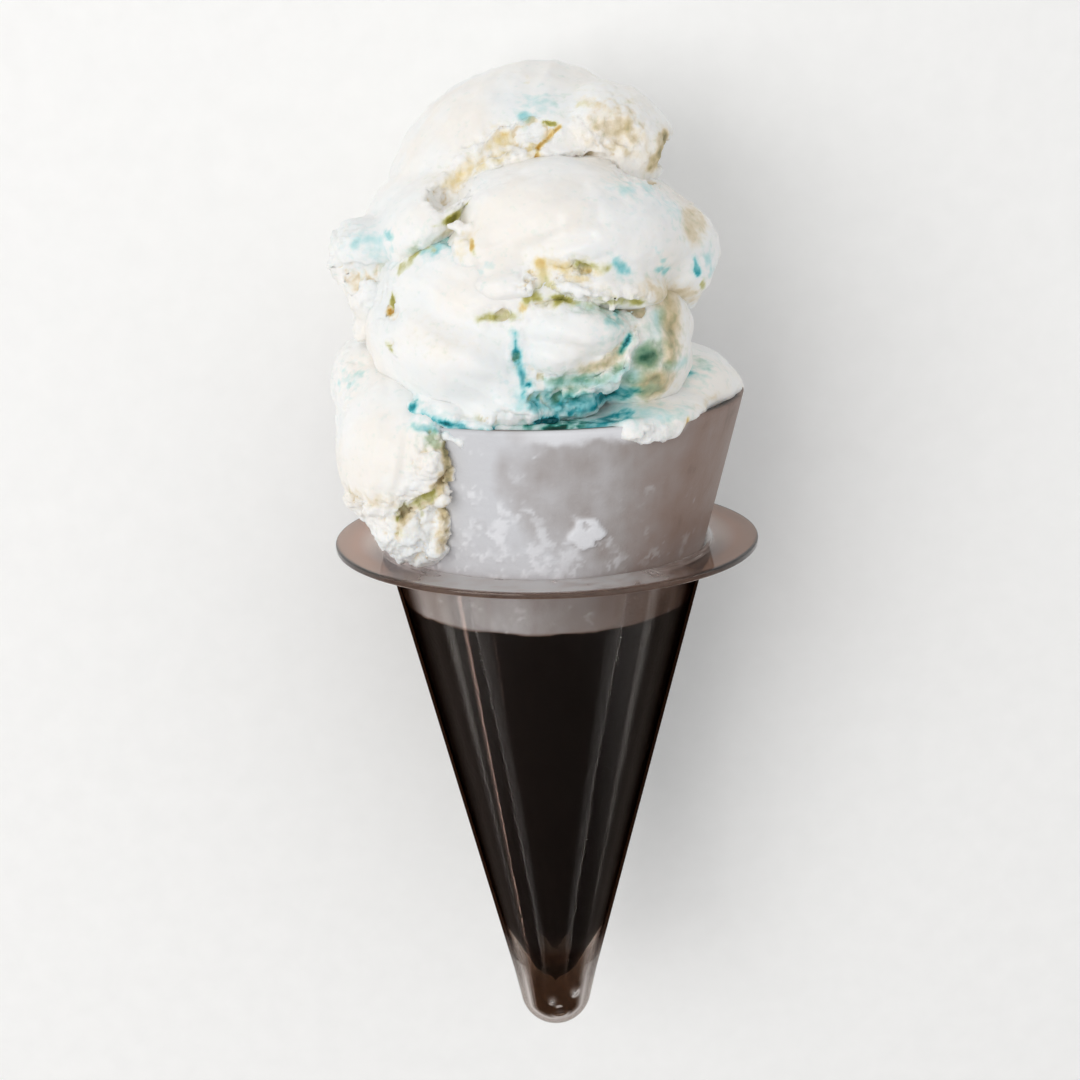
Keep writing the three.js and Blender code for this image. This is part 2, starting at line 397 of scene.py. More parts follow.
iceCream = iceCreamLook()
churned = {
    "crumbs": [(4.6, 0, 0.3, 1.1), (1.8, 5, 0.2, 0.5)],  # size, shift of the cells, dome and step
    "ledges": 0.6,  # depth of the crumbs on a ledge
    "plates": 0.12,  # and on a smooth plate
    "ragged": 0.7,  # and in the walls of a dent
    "ridges": 0.34,  # depth of the long soft ridges that the scoop drags
    "ridgeSize": (16, 2.6, 9),  # along the drag, across it and into the ice cream
    "ripples": 0.16,
    "hollow": 0.6,  # a hollow this deep has its full painted shade
    "hollowReach": 30,  # rounds of smoothing that a hollow is measured against
}
markSettings = {
    "edge": 1.2,  # where a mark ends, for its size
    "frays": 1.6,  # size of the tears in its edge
    "halo": 0.2,  # strength of the faint colour round it
    "haloEdge": 2.5,
    "haloWidth": 1.9,
    "uneven": 0.4,  # how much its strength varies
}


def blobs(name, spots, detail):
    # a mesh of ellipsoids
    bm = bmesh.new()
    for lump in spots:
        turn = Matrix.Rotation(radians(lump["turn"]), 4, "Z")
        where = Matrix.Translation(lump["at"]) @ turn @ Matrix.Diagonal((*lump["size"], 1))
        bmesh.ops.create_icosphere(bm, subdivisions=detail, radius=1, matrix=where)
    return objectFrom(name, bm)


def crumbled(piece, depth, grain, voxel):
    # melts a piece into one skin and makes that skin crumbly
    modified(piece, "REMESH", mode="VOXEL", voxel_size=voxel)
    points, outwards = pointsOf(piece.data)
    lumpy = cells(points, grain)[0] - 0.5 + 0.6 * fractal(points, grain / 3, 2)
    setPoints(piece.data, points + depth * outwards * lumpy[:, None])


def carve(piece, spots, depth):
    # cuts ellipsoids out of a piece, with crumbly walls, and gives back the walls
    cutter = blobs("cutter", spots, 4)
    crumbled(cutter, depth, 2.4, 0.4)
    modified(piece, "BOOLEAN", operation="DIFFERENCE", object=cutter, solver="MANIFOLD")
    walls = BVHTree.FromPolygons(
        [v.co.copy() for v in cutter.data.vertices], [f.vertices[:] for f in cutter.data.polygons]
    )
    bpy.data.objects.remove(cutter)
    return walls


def addedTo(piece, spots, depth):
    # crumbly lumps joined to a piece
    extra = blobs("extra", spots, 4)
    crumbled(extra, depth, 2.0, 0.4)
    bm = bmesh.new()
    bm.from_mesh(piece.data)
    bm.from_mesh(extra.data)
    bm.to_mesh(piece.data)
    bm.free()
    bpy.data.objects.remove(extra)


def paintedMarks(points, marks):
    # how strongly a mark colours each point, from 0 to 1, with frayed edges; it paints syrups and painted
    # shade alike
    amount = np.zeros(len(points))
    for mark in marks:
        far = fromLine(points, mark) if "line" in mark else fromMiddle(points, mark)
        near = far < 2.8
        edge = far[near] + mark["fray"] * fractal(points[near], markSettings["frays"], 3, 19.0)
        uneven = 1 + markSettings["uneven"] * fractal(points[near], 2.4, 2, 23.0)
        core = ease((markSettings["edge"] - edge) / mark["soft"])
        halo = markSettings["halo"] * ease((markSettings["haloEdge"] - edge) / markSettings["haloWidth"])
        amount[near] = np.maximum(amount[near], mark["strength"] * uneven * np.maximum(core, halo))
    return amount


def heap(name, plan):
    # Lumps melted into one skin and softened, cut by dents, with smooth plates and crumbly ledges added, then
    # roughened where torn, coloured where the syrups run, and painted with shade in hollows, crevices and
    # undercuts.
    piece = blobs(name, plan["lumps"], 5)
    if "body" in plan:
        plan["body"](piece)
    modified(piece, "REMESH", mode="VOXEL", voxel_size=max(0.7, plan["voxel"]))
    softened(piece, plan["soften"])
    if "shaves" in plan:
        carve(piece, plan["shaves"], 0)
    walls = carve(piece, plan["dents"], churned["ragged"]) if "dents" in plan else None
    for lumps in ("plates", "ledges"):
        if lumps in plan:
            addedTo(piece, plan[lumps], churned[lumps])
    modified(piece, "REMESH", mode="VOXEL", voxel_size=plan["voxel"])
    softened(piece, 1)

    mesh = piece.data
    points, outwards = pointsOf(mesh)
    torn = np.zeros(len(points))
    for mark in plan["torn"]:
        share = mark["strength"] * ease((1.25 - fromMiddle(points, mark)) / 0.4)
        torn = np.maximum(torn, share)
    # torn places are patchy, and the walls of the dents are torn too
    patchy = torn > 0.01
    torn[patchy] = np.clip(torn[patchy] * (1 + 0.6 * fractal(points[patchy], 5)), 0, 1)
    if walls:
        away = np.array([walls.find_nearest(Vector(p))[3] for p in points])
        torn = np.maximum(torn, 0.7 * ease((1.1 - away) / 0.8))

    # the scoop drags long soft ridges across the skin
    along = radians(plan["drag"])
    turnedBack = np.array([[cos(along), sin(along), 0], [-sin(along), cos(along), 0], [0, 0, 1]])
    ridges = fractal(points @ turnedBack.T / churned["ridgeSize"], 1, 2, 4.4)
    move = plan["swell"] * fractal(points, 10, 2, 3.1)
    move += (churned["ridges"] * ridges + churned["ripples"] * fractal(points, 3, 3, 7.7)) * (1 - torn)
    for crease in plan.get("folds", []):
        move -= crease["depth"] * np.exp(-(fromLine(points, crease) ** 2))
    # and it tears into crumbs of two sizes
    rough = torn > 0.02
    warp = np.stack([fractal(points[rough], 3, 2, 11.0 + k) for k in range(3)], 1)
    moved = points[rough] + 1.1 * warp
    crumbly = 0.25 * fractal(points[rough], 0.9, 2, 2.0) + 0.15
    crumbly -= 0.5 * np.abs(fractal(points[rough], 2.2, 2, 6.0))
    for size, shift, dome, step in churned["crumbs"]:
        middle, number = cells(moved, size, shift)
        crumbly += dome * (middle - 0.55) + step * number
    move[rough] += torn[rough] * crumbly
    shaped = points + outwards * move[:, None]
    shaped[:, 2] = np.maximum(shaped[:, 2], restingPlane)
    setPoints(mesh, shaped)

    shaped, outwards = pointsOf(mesh)
    # painted shade: hollows are coloured beige to olive, the torn ones more so
    sunk = hollows(mesh, shaped, outwards, churned["hollowReach"])
    paintedHollowShade = ease(sunk / churned["hollow"]) * (0.25 + 0.4 * torn)
    paint(mesh, "torn", torn)
    paint(mesh, "paintedHollowShade", np.clip(np.maximum(paintedHollowShade, paintedMarks(shaped, plan["beigeAndShade"])), 0, 1))
    for stainAndShade in ("teal", "amberAndShade", "oliveShade"):
        paint(mesh, stainAndShade, paintedMarks(shaped, plan[stainAndShade]))
    place(piece, plan["node"], "ice_cream", iceCream)


print("ice cream")
bottomScoop = {
    "node": "scoop_bottom",
    "voxel": 0.38,  # the finest detail of the skin, in millimetres
    "lumps": [
        spot((-3, 38, -3.5), (26, 19.5, 31.8)), spot((-9.5, 32.5, 5), (18.5, 11.5, 24.5), turn=-16),
        spot((-3, 27, 18.5), (12, 5.5, 11), turn=4), spot((13, 34, 10.5), (9.6, 13, 14), turn=10),
        spot((4.8, 35.5, 21), (10, 5.6, 8.5), turn=4),
    ],
    "dents": [
        spot((5.4, 27.2, 30), (8.3, 3, 5.6), turn=-2),
        *chain(
            [(-2.2, 30.6, 29), (4, 30.4, 29), (8.6, 31, 28.4), (12, 34, 27.6), (13.4, 37.4, 26.4)],
            (0.8, 0.8, 2.4),
        ),
        *chain([(-1.5, 24.6, 29), (4, 24.2, 28), (10, 24.6, 26)], (0.9, 0.7, 3.6)),
        *chain([(-4.2, 37.4, 28.5), (-3.7, 33.6, 28.5), (-2.6, 29.6, 28.5)], (0.45, 0.6, 1.5)),
        *chain([(-22.7, 41.2, 18), (-22.4, 39.8, 18), (-21.2, 38.4, 19)], (0.6, 0.7, 1.8)),
        spot((-21.6, 34.6, 22), (1.6, 0.5, 1), turn=-35),
        *chain([(-15.4, 50.2, 18.4), (-12.6, 51, 18.6)], (1.5, 1.5, 3)),
        *chain([(-8.8, 39.6, 28), (-4.4, 40.2, 28.8), (0, 41.8, 28.8)], (0.7, 0.7, 2.6)),
        *chain([(0, 41.8, 28.8), (5, 41.4, 28.6), (13.8, 39.8, 25)], (1, 1, 3.8)),
        *chain([(16.4, 37, 26), (17.6, 32, 25), (16, 27, 24)], (1.2, 1.2, 2.2)),
    ],
    "plates": [
        spot((4.4, 37.6, 23.8), (8.3, 4.2, 6.2), turn=-4),
        spot((2.2, 34.2, 24.2), (5.8, 4, 5.6), turn=6),
        spot((8, 34.8, 23.4), (4.6, 3.8, 5.4), turn=30), spot((-16, 26.8, 21.4), (3.4, 1.6, 3)),
        spot((-13.8, 25.6, 23.8), (3.2, 1.5, 2.8), turn=-8),
    ],
    "ledges": [
        *chain([(3.4, 28, 26), (8.6, 29.6, 26.2), (11.4, 32, 25.8), (13.2, 36.4, 24.4)], (0.8, 0.8, 2.2)),
        *chain(
            [(20, 34.2, 17.6), (18.4, 31.8, 20.4), (15.4, 30.4, 22.8), (12.6, 29.8, 23.6)], (0.6, 0.6, 1.2)
        ),
        *chain(
            [(-19, 26.2, 23.6), (-15.5, 24.7, 25.2), (-11, 23.9, 26.6), (-8, 23.7, 27.4)], (1.2, 1.2, 1.8)
        ),
        spot((-2.6, 41.2, 27), (0.9, 0.8, 0.9)), spot((0.4, 28.6, 25.4), (1.2, 0.9, 1.2)),
        spot((2, 26, 26), (1, 0.7, 1.2)), spot((-14, 22.5, 27.4), (1.5, 0.9, 1), turn=-8),
        spot((-12, 22, 27.9), (1.2, 1, 1)), spot((-10.4, 22.5, 28.2), (0.8, 0.7, 0.8)),
    ],
    "folds": [
        fold([(17, 41, 20), (19.5, 34, 19), (19, 28, 19)], 1.6, 0.7),
        fold([(-1, 37.6, 29), (9, 36.8, 28)], 1.4, -0.4),
        fold([(3, 32.4, 28), (8, 33.2, 27), (11.4, 35.6, 26)], 1.2, 0.5),
        fold([(-16, 40, 24), (-8, 38, 28)], 2, 0.35),
        fold([(-17, 33, 26), (-9, 30, 28)], 2, 0.3),
    ],
    "torn": [
        spot((5.4, 27, 26), (8.3, 3, 6), 0.7, turn=-2), spot((-24, 42, 8), (6, 9, 12), 0.35),
        spot((-3, 24.8, 28), (7, 1.8, 4), 0.6),
    ],
    # the crumbs' own beige, and painted shade in creases, under edges and on the shaded right side
    "beigeAndShade": [
        streak([(5.5, 31.8, 27), (8.4, 32.2, 26.5), (11, 34.2, 26)], 1.8, 0.6, soft=1.3, fray=0.2),
        streak([(0.6, 30.2, 27), (8.6, 30.2, 26.6), (11.6, 32.6, 26)], 1, 0.35, fray=0.2),
        streak([(-0.5, 31.8, 27), (4.5, 31.6, 27)], 1, 0.22, soft=1.2),
        streak([(-2, 42, 26), (4, 41.4, 26), (12, 40.2, 24)], 1.2, 0.4, soft=1.4),
        # painted shade on the lower ball's right side, olive-beige
        spot((16.4, 33, 21), (5.4, 8, 9), 0.45, turn=6, soft=1.4, fray=0.1),
        streak([(18.4, 41, 20), (18.6, 36, 20), (18.2, 32, 21)], 2.8, 0.78, soft=1.4, fray=0.1),
        spot((15, 32.8, 23.3), (3.4, 3.2, 6), soft=1.2, fray=0.1),
        spot((15.8, 29, 22), (5, 4.2, 7), 1.05, turn=20, soft=1.3, fray=0.1),
        spot((12.4, 29.6, 24), (3, 2.6, 6), 0.45, soft=1.4, fray=0.1),
        spot((3.4, 28.4, 25), (5.2, 2.2, 7), 0.36, fray=0.2),
        streak([(13, 42, 24), (17, 40, 21)], 2, 0.5, soft=1.3, fray=0.3),
        spot((-14, 36, 26), (9, 5, 9), 0.12, turn=-16, soft=1.2),
    ],
    "teal": [
        spot((3.6, 27.2, 25), (5.6, 2.4, 7), 0.68, fray=0.4),
        spot((9.2, 27, 22), (4.4, 2, 6), turn=12, soft=1.2, fray=0.3),
        spot((0.2, 28.6, 26), (1.8, 1.6, 4), 0.5),
        streak([(4, 25.2, 26), (11, 26.4, 24), (13.4, 28, 23.6)], 1, 0.8),
        streak([(-1, 24.4, 28), (5, 24.1, 28), (9, 24.4, 26)], 0.8, 1.4, fray=0.2),
        streak([(5, 41.2, 26), (9.8, 40.2, 25.6), (13.2, 39.4, 24)], 1, 0.36, soft=1.4),
        streak([(-4.1, 37.4, 27), (-3.8, 34.6, 27)], 0.45, 0.9, fray=0.2),
        streak([(-3.8, 34.6, 27), (-3.2, 30.6, 27), (-2.8, 28.6, 27)], 0.8, 0.65),
        spot((-2.8, 28.4, 27), (2.3, 3.6, 5), 0.3), spot((-1.4, 27.4, 27), (1.2, 2.4, 5), 0.6),
        streak([(-19, 26.2, 23.6), (-15.5, 24.5, 25), (-11, 23.4, 26), (-6.6, 23, 27)], 1, 0.85),
        spot((10.2, 38, 26), (2, 2.2, 4), 0.52, soft=1.2), spot((10.2, 39.4, 25), (1, 0.6, 3), 0.85),
        streak([(12.2, 36.2, 26), (11, 34, 26)], 0.6, 0.85, fray=0.3),
        # teal here is partly the syrup and partly painted shade on the right side
        spot((14.8, 33, 23.4), (3.4, 3, 6), 0.64, soft=1.2, fray=0.1),
        spot((12.6, 30, 24), (3, 2.4, 6), 0.46, soft=1.4, fray=0.1),
        spot((-2.2, 29.9, 27), (0.8, 0.6, 3), 1.3, fray=0.2),
        streak([(16.6, 38.4, 21), (16, 35.4, 23)], 2.2, 0.28, soft=1.4, fray=0.1),
        streak([(17.6, 31, 21), (20, 31, 18)], 1.6, 0.35, soft=1.3, fray=0.3),
        streak([(12.5, 27.2, 23), (16, 28.2, 22)], 1.2, 0.4, soft=1.2),
        streak([(0.6, 30, 27), (8, 30, 26.6), (11.6, 31.8, 26)], 1.5, 0.46, soft=1.4, fray=0.2),
        streak([(-16.8, 48.4, 17.4), (-14.8, 48.9, 17.6), (-13, 49, 18.4)], 1.4, 0.45),
    ],
    # amber colour in the left pockets, partly painted warm shade
    "amberAndShade": [
        streak([(-22.2, 39.2, 16.8), (-20.9, 38.2, 16.8)], 0.65, 1.2, fray=0.3),
        streak([(-21.7, 41, 16.8), (-21.4, 39.4, 16.8)], 0.5, 0.7),
        spot((-2.8, 40.9, 27), (1.4, 1, 3), 0.5),
    ],
    # painted olive shade in crevices, pockets and undercuts
    "oliveShade": [
        spot((-21.9, 34.4, 21), (1.8, 0.6, 3), 0.5, turn=-35, fray=0.2),
        spot((-21.8, 40.9, 17), (0.7, 1.3, 3), 0.8),
        streak([(-20.7, 45.1, 16.6), (-19.4, 46.4, 17.3), (-18.2, 48, 17.8)], 0.9, 0.44),
        spot((-16.4, 48.8, 17.6), (1.6, 1.4, 3), 0.5),
        streak([(-9, 39.4, 27), (-4, 39.8, 27)], 1, 0.66, soft=1.5, fray=0.4),
        streak([(-2, 42.2, 26), (0.8, 42.4, 26), (4, 41.8, 26)], 1.2, 0.7, soft=1.4),
        streak([(4, 41.8, 26), (9, 40.8, 25.6)], 1, 0.4, soft=1.4),
        spot((15.8, 28.2, 22), (4, 2.2, 6), 0.26, turn=20, soft=1.4, fray=0.1),
        spot((12.4, 40.4, 24.6), (2.6, 1.2, 4), 0.9, turn=-12, soft=1.2, fray=0.4),
    ],
    "soften": 8,  # rounds of smoothing that melt the lumps together
    "swell": 0.7,  # depth of the wide bulges
    "drag": -25,  # which way the scoop went, in degrees from x
}
heap("lowerScoop", bottomScoop)

middleScoop = {
    "node": "scoop_middle",
    "voxel": 0.3,
    "lumps": [
        spot((5, 50, 7), (18.5, 10.8, 21), turn=-10), spot((-6.5, 47, 14), (10.5, 6.8, 11), turn=28),
        spot((18.6, 44.8, 4), (8.4, 8.8, 14), turn=32), spot((-4.5, 43.6, 20), (7.5, 4.4, 8.4), turn=2),
        spot((7.5, 43.4, 20), (11, 3.6, 8.4), turn=-12),
    ],
    "shaves": [spot((54, 66.5, 32), (40, 40, 40)), spot((60, 24, 12), (40, 40, 40))],
    "dents": [
        *chain([(-2, 46, 28.6), (1, 46.6, 28.8), (4.6, 46.3, 28.6), (6.6, 46, 28)], (0.8, 0.9, 3)),
        *chain([(-1.6, 44.6, 28.8), (-0.6, 42.4, 28.8), (2, 42.2, 28.8)], (1.5, 1.3, 2.6)),
        spot((15.5, 59, 10), (4.5, 3, 5), turn=-20),
    ],
    "ledges": [
        *chain([(1.8, 44.2, 26.2), (5, 43.4, 26.9), (8.6, 42.4, 26.6), (12.5, 41.6, 25)], (1.1, 1, 2.6)),
        spot((-1.9, 43.8, 27.6), (1.1, 1.6, 1.6)), spot((11.2, 41.6, 25.8), (0.8, 0.7, 0.8)),
        spot((9.8, 40.6, 26.4), (0.7, 0.8, 0.7)), spot((-11.4, 49, 21), (1.5, 2, 1.8), turn=-20),
        *chain([(-12.6, 51.6, 19), (-10.4, 51.2, 20)], (0.9, 0.9, 1.2)),
    ],
    "folds": [
        fold([(-9, 47.5, 24), (0, 50.4, 27), (8, 53.4, 27)], 1, 0.6),
        fold([(-7, 49.8, 24), (2, 53, 27)], 1.1, 0.5),
        fold([(-3, 48.4, 26), (7, 50.8, 28)], 0.8, 0.5),
        fold([(-8, 45.6, 26), (-1, 47.6, 28)], 0.9, 0.4),
        fold([(-5, 53, 22), (6, 57, 22)], 1.3, 0.35),
    ],
    "torn": [
        spot((15, 57.6, 12), (5, 3, 6), 0.7, turn=-20),
        spot((9, 42.4, 25), (7, 2, 4), 0.8, turn=-8), spot((22, 55, 4), (5, 5, 14), 0.4),
    ],
    # the crumbs' own beige, and painted shade under the lip and on the right
    "beigeAndShade": [
        spot((0.4, 43.6, 26), (1.4, 2.4, 3), 0.5, soft=1.2),
        spot((22.6, 50.6, 12), (3.2, 5.4, 9), 0.43, turn=-25, soft=0.8, fray=0.1),
        streak([(15, 42.4, 22), (22, 40, 15)], 2.8, 0.5, soft=1.3, fray=0.3),
        spot((7, 44.2, 26), (4, 1.2, 3), 0.25, turn=-8),
        streak([(2, 46.9, 26), (8.6, 46.5, 26)], 1.5, 0.36, soft=1.4, fray=0.2),
    ],
    "teal": [
        streak([(10.4, 47.2, 26), (12, 45.4, 25.8)], 0.9, 0.45),
        streak([(16.2, 48.4, 22), (17.2, 46.4, 22)], 0.5, 0.3),
        spot((17.5, 44.9, 20.5), (1.6, 0.8, 4), 0.48),
        streak([(22.4, 45.8, 16.4), (22.8, 43.6, 16)], 0.55, 0.7),
        spot((24.4, 45, 13), (1.4, 2.4, 5), 0.25, soft=1.2),
        spot((12.5, 56.4, 20), (2.2, 1.4, 5), 0.3, turn=-40, soft=1.3),
        spot((15.4, 56.2, 16), (2.6, 1.6, 5), 0.16, soft=1.2),
        spot((19, 52.6, 16), (3.6, 2.4, 6), 0.14, turn=-40, soft=1.2),
        spot((-9, 46, 24), (4, 1.4, 5), 0.12, turn=10, soft=1.2),
    ],
    # an amber dot, and painted gold shade in the cavity under the lip
    "amberAndShade": [
        spot((-1.7, 45.8, 27), (0.7, 0.6, 3)),
        streak([(0, 47, 26), (0.4, 44.6, 26)], 2, 0.62, soft=1.4, fray=0.3),
        streak([(2, 46.2, 26), (7.6, 45.8, 26)], 1.4, 0.55, soft=1.4, fray=0.4),
        spot((4.4, 45, 27.6), (3, 0.7, 3), 0.35), spot((-9.9, 49.2, 23), (0.6, 1, 3), 0.95),
        spot((-11.2, 49.3, 21.6), (2.4, 2.6, 4), 0.3),
    ],
    # painted olive shade in undercuts below the lip and ledge
    "oliveShade": [
        streak([(0.6, 44.6, 26), (-0.4, 42.4, 27), (2, 42, 27)], 1.3, 0.62, soft=1.4),
        streak([(0.2, 45.4, 26), (0.6, 44.2, 26)], 1.5, 0.24, fray=0.3),
        streak([(5, 46.8, 26), (9, 46.2, 26)], 1.1, 0.6, soft=1.4, fray=0.4),
        streak([(8.4, 42, 25), (14, 40.8, 25)], 1.2, 0.62, soft=1.4, fray=0.4),
        spot((23.5, 41.8, 14.6), (0.8, 1.1, 3), 0.5), spot((-9.6, 48.4, 22), (0.5, 0.8, 3), 0.6),
    ],
    "soften": 8,
    "swell": 0.5,
    "drag": 20,
}
heap("middleScoop", middleScoop)

topScoop = {
    "node": "scoop_top",
    "voxel": 0.37,
    "lumps": [
        spot((-1, 50, -8.5), (23.4, 23.2, 23.5)), spot((-15, 46.5, -1), (14, 12.5, 14), turn=34),
        spot((10.4, 61.9, -1), (10.5, 8.4, 12), turn=-24),
        spot((-16.5, 51.2, 6), (9.5, 5.6, 13), turn=36),
        spot((-26.8, 47.2, 7), (5.4, 4.4, 6.5), turn=8), spot((-25, 40.5, 7), (4.4, 5, 6)),
        spot((-27, 34.6, 7), (2.4, 2.6, 4)),
    ],
    "dents": [
        spot((4, 53, 19.5), (16, 10, 12.5), turn=32), spot((26, 53.5, -8), (9.5, 8, 32)),
        spot((25.4, 59.6, -6), (8.6, 4.6, 28)),
        *chain([(-14, 55.4, 14.8), (-9.5, 60, 14.2), (-5, 63.4, 12.6), (-0.6, 64.6, 12)], (2.7, 2.7, 4.6)),
        *chain([(2.9, 64.6, 10), (0.6, 62.6, 11), (-0.6, 60, 12)], (0.5, 0.5, 3)),
        spot((11.5, 65, 13.8), (7.4, 5, 5.2), turn=-22),
    ],
    "ledges": [
        *chain([(-10.6, 56.2, 11), (-6.4, 59.4, 11), (-2.4, 61, 11)], (1.4, 1.1, 2)),
        *chain([(-21.8, 45, 13), (-19.6, 47.8, 14.4), (-17, 50.6, 15.4)], (1.4, 1.2, 2)),
        *chain([(-17, 50.6, 15.4), (-13, 53.2, 15.8), (-9.4, 56, 14.6)], (1.2, 1.1, 2.2)),
        *chain([(-30.6, 45, 9), (-29, 42.4, 9), (-28, 39.6, 9)], (1.6, 1.6, 2.6)),
    ],
    "torn": [
        spot((11.5, 64, 8), (7.4, 5.6, 7), 0.5, turn=-22), spot((-28.6, 44, 8), (5, 7, 8), 0.7),
        spot((-27, 36, 8), (5, 6, 8), 0.6), spot((-8, 60.6, 12), (9, 3.6, 6), 0.7, turn=42),
        spot((-16, 50, 16), (6, 1.6, 4), 0.6, turn=38),
    ],
    # the crumbs' own beige, and painted shade in the torn band and the cleft
    "beigeAndShade": [
        spot((11.4, 64.4, 8), (6.4, 4.8, 8), 0.64, turn=-22, soft=1.3, fray=0.4),
        spot((8.8, 64.6, 8), (2, 2.2, 5), 0.6, soft=1.3),
        streak([(-14.4, 56.6, 11), (-10.6, 59.4, 10), (-6.6, 62.4, 9)], 2.4, 0.26, soft=1.4, fray=0.4),
        streak([(18.6, 62.6, 5), (17.6, 60.2, 5), (16.4, 58.4, 5)], 1.5, soft=1.3, fray=0.3),
        streak([(13, 60.6, 9), (16, 60.4, 7)], 1.6, 0.4, soft=1.4, fray=0.3),
        streak([(-19, 46.6, 17), (-10, 53.4, 17)], 0.7, 0.4),
        spot((-18.4, 48.4, 18), (1.2, 2.2, 3), 0.3, turn=-20),
    ],
    "teal": [
        spot((-1.9, 66.2, 7.6), (1.5, 1, 4), 0.42), spot((0, 67.8, 6), (3.6, 2.2, 6), 0.14),
        spot((-27.4, 49, 12), (1.7, 1.9, 4), 0.3, soft=1.2, fray=0.4),
        streak([(-26, 49.4, 12), (-23.8, 48.8, 12)], 1.3, 0.26, soft=1.2, fray=0.4),
        spot((-22.2, 49.7, 14), (1, 0.9, 4), 0.4), spot((-23, 47, 12), (5.5, 3, 8), 0.14, soft=1.3),
        spot((-18.4, 48.2, 18), (1.4, 2.4, 3), 0.16, turn=-20),
    ],
    # painted gold shade in the crack and the torn band, with amber dots
    "amberAndShade": [
        streak([(3, 64.6, 9), (1.5, 63.2, 8.4), (-0.2, 61.8, 10), (-0.6, 60.2, 12)], 0.42, fray=0.2),
        spot((-1.2, 61.2, 11), (1.6, 1.8, 4), 0.5),
        spot((-5.6, 63, 9), (3, 2.6, 5), 0.64, turn=35, soft=1.4, fray=0.3),
        streak([(-13.6, 56.6, 11), (-10, 59, 10), (-5, 60.8, 10)], 2.2, 0.46, soft=1.5, fray=0.3),
        spot((7, 68, 7), (2.4, 1.5, 4), 0.3), spot((-29, 49.4, 8), (0.45, 1.1, 3), fray=0.1),
        spot((-1.4, 71.2, 1), (1, 1.4, 4), 0.2),
    ],
    # painted olive shade in the crack and by the nub
    "oliveShade": [
        spot((-12.4, 52.7, 17), (2.1, 1, 3), turn=35, fray=0.3),
        streak([(-15.4, 51.6, 18), (-13.4, 52.2, 17)], 0.6, 0.5),
        streak([(-11, 53.8, 16), (-9.6, 55, 16)], 0.5, 0.8, fray=0.2),
        streak([(2.4, 65.1, 8.6), (0.8, 65.2, 8)], 0.5, 0.8),
        spot((6.4, 67.6, 7), (1.2, 1, 4), 0.22),
    ],
    "soften": 8,
    "swell": 0.6,
    "drag": 55,
}
heap("topScoop", topScoop)

